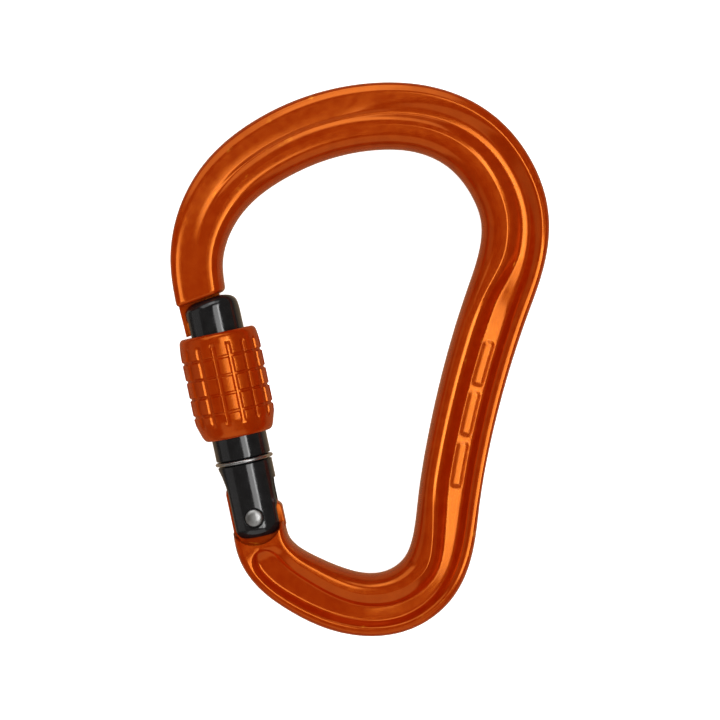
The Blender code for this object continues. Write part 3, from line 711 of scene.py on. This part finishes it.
def make_gate(finish):
    foot = GATE_FOOT + GATE_FOOT_ROUNDING * (1 - np.cos(np.linspace(0, math.pi / 2, FOOT_STEPS)))
    head = GATE_HEAD - GATE_HEAD_ROUNDING * (1 - np.sin(np.linspace(0, math.pi / 2, HEAD_STEPS)))
    start, end = RING_GROOVE
    edge = np.linspace(-GROOVE_REACH, GROOVE_REACH, GROOVE_STEPS)
    places = np.concatenate([
        foot, np.arange(foot[-1] + FOOT_SPACING, start - FOOT_SPACING, FOOT_SPACING),
        start + edge, end + edge,
        np.arange(end + TUBE_SPACING, head[0] - TUBE_SPACING / 2, TUBE_SPACING), head])
    rings = [gate_ring(along) for along in places]
    inner = TONGUE_INNER + GAP
    cutters = [
        box("clevis_slot", (-FAR, -FAR, -CLEVIS_HALF), (FAR, CLEVIS_TOP, CLEVIS_HALF), GATE),
        cylinder("rivet_hole", HOLE_RADIUS, -FAR, FAR, GATE),
        cylinder("spot_face_above", SPOT_FACE_RADIUS, SPOT_FACE_HEIGHT, FAR, GATE),
        cylinder("spot_face_below", SPOT_FACE_RADIUS, -FAR, -SPOT_FACE_HEIGHT, GATE),
        box("neck_slot", (-FAR, SLOT_FLOOR, -NECK_HALF - GAP), (inner, TONGUE_TOP, NECK_HALF + GAP),
            GATE),
        box("toe_slot", (-FAR, SLOT_FLOOR + ASIDE, -TOE_HALF - GAP),
            (inner - ASIDE, TOE_SLOT_TOP, TOE_HALF + GAP), GATE),
        cylinder("spring_bore", BORE_RADIUS, CLEVIS_TOP - BORE_OVERLAP, BORE_TOP, TUBE)]
    mesh = carved(loft("gate_arm_black", rings, GATE), [("DIFFERENCE", cutters)])
    return piece("gate_arm_black", mesh, "gate_arm", "gate", finish, "gate")


# ---------------------------------------------------------------- sleeve

GROOVES_ROUND = 16
FIRST_COLUMN = math.radians(-7.0)       # angle of a long groove from the upward direction
COLUMN_HALF_WIDTH, COLUMN_DEPTH = 0.55, 0.38
COLUMN_START, COLUMN_END, COLUMN_FADE = 19.2, 36.2, 1.1
RIB_GROOVES, FIRST_RIB, RIB_PITCH = 4, 22.0, 3.67
RIB_HALF_WIDTH, RIB_DEPTH = 0.28, 0.34
STEPS_PER_COLUMN = 24
# A groove is at its full depth up to the first of these parts of its half width, and ends at
# the second
COLUMN_EDGE, RIB_EDGE = (0.45, 1.15), (0.5, 1.3)
GRAINY_FROM, GRAINY_TO = (19.6, 20.6), (35.2, 36.0)
# The sleeve's line, as radius and place along the gate
SLEEVE_LIP = [(6.75, -0.02), (7.25, 0.0), (7.75, -0.35), (7.95, -0.9)]    # place: from its top
SLEEVE_RIBBED = [(-0.12, 36.0), (0.0, 34.5), (0.0, 21.5), (-0.12, 20.2)]  # radius: from the widest
SLEEVE_SKIRT = [(7.3, 17.6), (6.95, 16.95)]
SLEEVE_FOOT = [(6.45, 0.0), (6.05, 0.1)]                                  # place: from its bottom
SLEEVE_BORE = [(6.02, 18.0), (6.02, 30.0)]
SLEEVE_MOUTH = [(6.02, -4.9), (6.7, -4.5), (6.7, -0.2)]                   # place: from its top
SLEEVE_ROUNDING, SLEEVE_ROUNDING_STEPS = 0.3, 3
SLEEVE_FILL = [2, 2, 3, 9, 8, 96, 8, 12, 3, 3, 1]     # points between those of the outer side


def sleeve_line():
    """Outer side of the sleeve from top to bottom, and its bore from bottom to top."""
    low, high = gate_box("locking_sleeve")
    bottom, top, wide = low[1], high[1], high[2]
    outer = [(radius, top + place) for radius, place in SLEEVE_LIP]
    outer += [(wide + radius, place) for radius, place in SLEEVE_RIBBED]
    outer += SLEEVE_SKIRT + [(radius, bottom + place) for radius, place in SLEEVE_FOOT]
    corners = len(outer) - 2
    outer = rounded(outer, [SLEEVE_ROUNDING] * corners, SLEEVE_ROUNDING_STEPS, SLEEVE_FILL)
    bore = SLEEVE_BORE + [(radius, top + place) for radius, place in SLEEVE_MOUTH]
    return outer, np.array(bore)


def make_sleeve(finish):
    outer, bore = sleeve_line()
    columns = GROOVES_ROUND * STEPS_PER_COLUMN
    pitch = 2 * math.pi / GROOVES_ROUND
    radius, along = outer.T
    fade = smooth_step(along, COLUMN_START, COLUMN_START + COLUMN_FADE)
    fade *= 1 - smooth_step(along, COLUMN_END - COLUMN_FADE, COLUMN_END)
    ribs = np.zeros_like(along)
    for k in range(RIB_GROOVES):
        gap = np.abs(along - FIRST_RIB - k * RIB_PITCH)
        full, gone = (RIB_HALF_WIDTH * part for part in RIB_EDGE)
        ribs = np.maximum(ribs, 1 - smooth_step(gap, full, gone))
    rings = []
    for step in range(columns):
        angle = 2 * math.pi * step / columns
        off = (angle - FIRST_COLUMN + pitch / 2) % pitch - pitch / 2
        gap = abs(off) * radius
        full, gone = (COLUMN_HALF_WIDTH * part for part in COLUMN_EDGE)
        column = 1 - smooth_step(gap, full, gone)
        cut = np.maximum(column * fade * COLUMN_DEPTH, ribs * RIB_DEPTH)
        loop = np.vstack([np.column_stack([radius - cut, along]), bore])
        across = TUBE_OFFSET + loop[:, 0] * math.sin(angle)
        rings.append(np.column_stack([across, loop[:, 1], loop[:, 0] * math.cos(angle)]))
    mesh = facing_out(closed_loft("sleeve_knurled", rings, GATE))
    pads = smooth_step(along, *GRAINY_FROM) * (1 - smooth_step(along, *GRAINY_TO)) * (1 - ribs)
    pads = np.concatenate([pads, np.zeros(len(bore))])
    add_grain(mesh, np.tile(pads, columns).astype(np.float32))
    return piece("sleeve_knurled", mesh, "sleeve", "sleeve", finish, "locking_sleeve")


# ---------------------------------------------------------------- small parts

RIVET_SHANK, RIVET_BASE, RIVET_STEPS = 1.25, 5.2, 72
RIVET_DOME, RIVET_DOME_SPREAD, RIVET_DOME_STEPS = 0.42, 0.9, 10
RIVET_EDGE, RIVET_EDGE_DROP = 0.05, 0.52
RING_SPLIT, RING_STEPS = math.radians(14.0), 140
SPRING_WIRE, SPRING_TURNS, SPRING_STEPS, SPRING_SIDES = 0.33, 9, 32, 12
SPRING_FLAT, SPRING_CLIMB = 0.05, 0.9      # parts of the wire: flat at each end, and climbing
PLUNGER_STEM, PLUNGER_PILOT, PLUNGER_STEPS, PLUNGER_TIP_STEPS = 1.2, 0.95, 48, 9
COLLAR_PLACES, COLLAR_EDGE = (9.35, 9.4, 9.5, 10.3, 10.4), 0.1
PILOT_NECK, PILOT_TAPER = 0.3, 0.25


def make_rivet(finish):
    _, high = gate_box("hinge_rivet")
    top, wide, base = high[2], high[0], RIVET_BASE
    parts = np.linspace(0.0, RIVET_DOME_SPREAD, RIVET_DOME_STEPS)
    crown = [(wide * part, top - RIVET_DOME * part ** 3) for part in parts]
    edge = [(wide - RIVET_EDGE, top - RIVET_DOME), (wide, top - RIVET_EDGE_DROP),
            (wide, base + RIVET_EDGE), (wide - RIVET_EDGE, base)]
    head = crown + edge + [(RIVET_SHANK, base)]
    profile = head + [(radius, -height) for radius, height in reversed(head)]
    mesh = turned("rivet_domed", profile, RIVET_STEPS, GATE)
    return piece("rivet_domed", mesh, "bar", "rivet", finish, "hinge_rivet")


def make_ring(finish):
    low, high = gate_box("stop_ring")
    thick = (high[1] - low[1]) / 2
    radius, height = high[2] - thick, (low[1] + high[1]) / 2
    angles = np.linspace(math.pi + RING_SPLIT / 2, 3 * math.pi - RING_SPLIT / 2, RING_STEPS)
    line = np.column_stack([TUBE_OFFSET + radius * np.cos(angles), np.full(RING_STEPS, height),
                            radius * np.sin(angles)])
    mesh = wire("stop_ring_wire", line, thick, GATE)
    return piece("stop_ring_wire", mesh, "gate_arm", "ring", finish, "stop_ring")


def make_spring(finish):
    low, high = gate_box("gate_spring")
    thick = SPRING_WIRE
    bottom, top = low[1] + thick, high[1] - thick
    count = SPRING_TURNS * SPRING_STEPS
    part = np.arange(count + 1) / count
    climb = np.clip((part - SPRING_FLAT) / SPRING_CLIMB, 0.0, 1.0)
    turn = part * SPRING_TURNS * 2 * math.pi
    radius = high[2] - thick
    line = np.column_stack([TUBE_OFFSET + radius * np.cos(turn), bottom + (top - bottom) * climb,
                            radius * np.sin(turn)])
    mesh = wire("return_spring_coil", line, thick, GATE, sides=SPRING_SIDES)
    coil = piece("return_spring_coil", mesh, "gate_arm", "spring", finish, "gate_spring")
    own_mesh(coil)
    return coil


def make_plunger(finish):
    low, high = gate_box("spring_plunger")
    tip, top, collar = low[1], high[1], high[2]
    stem, pilot = PLUNGER_STEM, PLUNGER_PILOT
    angles = np.linspace(0, math.pi / 2, PLUNGER_TIP_STEPS)
    point = [(stem * math.sin(a), tip + stem - stem * math.cos(a)) for a in angles]
    start, lower, low_edge, high_edge, upper = COLLAR_PLACES
    profile = point + [(stem, start), (collar - COLLAR_EDGE, lower), (collar, low_edge),
                       (collar, high_edge), (collar - COLLAR_EDGE, upper), (pilot, upper),
                       (pilot, top - PILOT_NECK), (pilot - PILOT_TAPER, top), (0.0, top)]
    mesh = turned("plunger_pin", profile, PLUNGER_STEPS, TUBE)
    return piece("plunger_pin", mesh, "plunger", "plunger", finish, "spring_plunger")


# ---------------------------------------------------------------- build

# The third orange is the lighter, yellower colour of the convex edges: partly wear, partly a painted
# highlight along the ridges.
ORANGE_DARK, ORANGE_LIGHT, ORANGE_EDGE_WEAR_AND_HIGHLIGHT = (0.37, 0.019, 0.0), (0.42, 0.030, 0.001), (0.6, 0.14, 0.01)
ORANGE_SHEEN = (0.8, 0.50, 0.05)
bar_finish = metal("bar_anodised_orange", ORANGE_DARK, ORANGE_LIGHT, ORANGE_EDGE_WEAR_AND_HIGHLIGHT, (0.14, 0.21),
                   (0.04, 0.4), 4200.0, mask="grain", metallic=0.4, coat=0.12, specular=1.0,
                   tint=ORANGE_SHEEN, index=2.0)
sleeve_finish = metal("sleeve_anodised_orange", ORANGE_DARK, ORANGE_LIGHT, ORANGE_EDGE_WEAR_AND_HIGHLIGHT, (0.15, 0.23),
                      (0.06, 0.3), 4200.0, mask="grain", metallic=0.4, coat=0.12, specular=1.0,
                      tint=ORANGE_SHEEN, index=2.0)
gate_finish = metal("gate_anodised_black", (0.004, 0.004, 0.0045), (0.008, 0.008, 0.0085),
                    (0.04, 0.04, 0.042), (0.1, 0.17), (0.0, 0.08), 3000.0, metallic=0.0,
                    specular=0.85)
rivet_finish = metal("rivet_steel", (0.42, 0.42, 0.41), (0.56, 0.56, 0.55), (0.8, 0.8, 0.78),
                     (0.3, 0.5), (0.0, 0.35), 2600.0)
ring_finish = metal("ring_steel_wire", (0.5, 0.5, 0.5), (0.62, 0.62, 0.61), (0.85, 0.85, 0.84),
                    (0.22, 0.36), (0.0, 0.15), 3000.0)
spring_finish = metal("spring_steel_wire", (0.3, 0.3, 0.31), (0.42, 0.42, 0.43), (0.7, 0.7, 0.7),
                      (0.25, 0.4), (0.0, 0.15), 3000.0)
plunger_finish = metal("plunger_turned_steel", (0.42, 0.42, 0.41), (0.55, 0.55, 0.54),
                       (0.8, 0.8, 0.78), (0.25, 0.4), (0.0, 0.15), 3000.0)

make_body(bar_finish)
make_gate(gate_finish)
make_sleeve(sleeve_finish)
make_rivet(rivet_finish)
make_ring(ring_finish)
make_spring(spring_finish)
make_plunger(plunger_finish)


# ---------------------------------------------------------------- stage, lights and camera

FLOOR_HALF_M, FLOOR_CELLS, FLOOR_DROP = 3.0, 8, 0.2
CAMERA_HEIGHT, CAMERA_OFFSET, FIELD_WIDTH, SENSOR_WIDTH = 450.0, 14.0, 146.0, 36.0
SUN_STRENGTH, SUN_ANGLE = 2.7, math.radians(60.0)
UNDER_COLOUR, WORLD_COLOUR = (1.0, 0.68, 0.4), (0.08, 0.07, 0.06, 1.0)


def make_floor():
    work = bmesh.new()
    bmesh.ops.create_grid(work, x_segments=FLOOR_CELLS, y_segments=FLOOR_CELLS, size=FLOOR_HALF_M)
    mesh = bpy.data.meshes.new("studio_floor")
    work.to_mesh(mesh)
    work.free()
    mesh.materials.append(pale_floor())
    made = bpy.data.objects.new("studio_floor", mesh)
    bpy.context.scene.collection.objects.link(made)
    made.location.z = -FLOOR_DROP * MM
    made.visible_glossy = False
    made.visible_shadow = False


def aim(made, target):
    direction = Vector(target) - made.location
    made.rotation_mode = "QUATERNION"
    made.rotation_quaternion = direction.to_track_quat("-Z", "Y")


def towards(right, up, distance=1.0):
    """A place seen from the carabiner at these angles from straight above, in degrees."""
    direction = Vector((math.tan(math.radians(right)), math.tan(math.radians(up)), 1.0))
    return direction.normalized() * distance


def soft_box(name, place, size, radiance, colour=(1.0, 1.0, 1.0)):
    """A rectangular light that faces the carabiner; its size across and along its tilt is in metres."""
    light = bpy.data.lights.new(name, "AREA")
    light.shape = "RECTANGLE"
    light.size, light.size_y = size
    light.energy = radiance * math.pi * size[0] * size[1]
    light.color = colour
    made = bpy.data.objects.new(name, light)
    bpy.context.scene.collection.objects.link(made)
    made.location = place
    aim(made, (0.0, 0.0, HINGE.z))
    return made


def make_lights():
    soft_box("key_box", towards(18.0, 2.0), (0.80, 0.44), 2.5)
    soft_box("key_strip", towards(27.0, 2.0, 0.95), (0.80, 0.10), 3.6)
    soft_box("upper_box", towards(-2.0, 52.0), (0.7, 0.34), 1.1)
    soft_box("upper_left_box", towards(-32.0, 48.0), (0.9, 0.6), 1.0)
    soft_box("left_box", towards(-72.0, -10.0), (0.9, 0.7), 0.2)
    soft_box("lower_box", towards(0.0, -60.0), (1.2, 0.9), 0.45)
    soft_box("under_box", (0.0, 0.0, -0.6), (3.0, 3.0), 0.3, colour=UNDER_COLOUR)
    sun = bpy.data.lights.new("overhead", "SUN")
    sun.energy, sun.angle = SUN_STRENGTH, SUN_ANGLE
    overhead = bpy.data.objects.new("overhead", sun)
    bpy.context.scene.collection.objects.link(overhead)
    overhead.visible_glossy = False
    world = bpy.data.worlds.new("studio")
    bpy.context.scene.world = world
    world.use_nodes = True
    background = world.node_tree.nodes["Background"]
    background.inputs["Color"].default_value = WORLD_COLOUR


def make_camera():
    camera = bpy.data.cameras.new("camera")
    camera.sensor_width = SENSOR_WIDTH
    camera.lens = CAMERA_HEIGHT / FIELD_WIDTH * camera.sensor_width
    made = bpy.data.objects.new("camera", camera)
    bpy.context.scene.collection.objects.link(made)
    made.location = (0.0, CAMERA_OFFSET * MM, HINGE.z + CAMERA_HEIGHT * MM)
    made.rotation_euler.x = -math.atan2(CAMERA_OFFSET, CAMERA_HEIGHT)
    bpy.context.scene.camera = made


make_floor()
make_lights()
make_camera()
bpy.context.scene.view_settings.view_transform = "Standard"
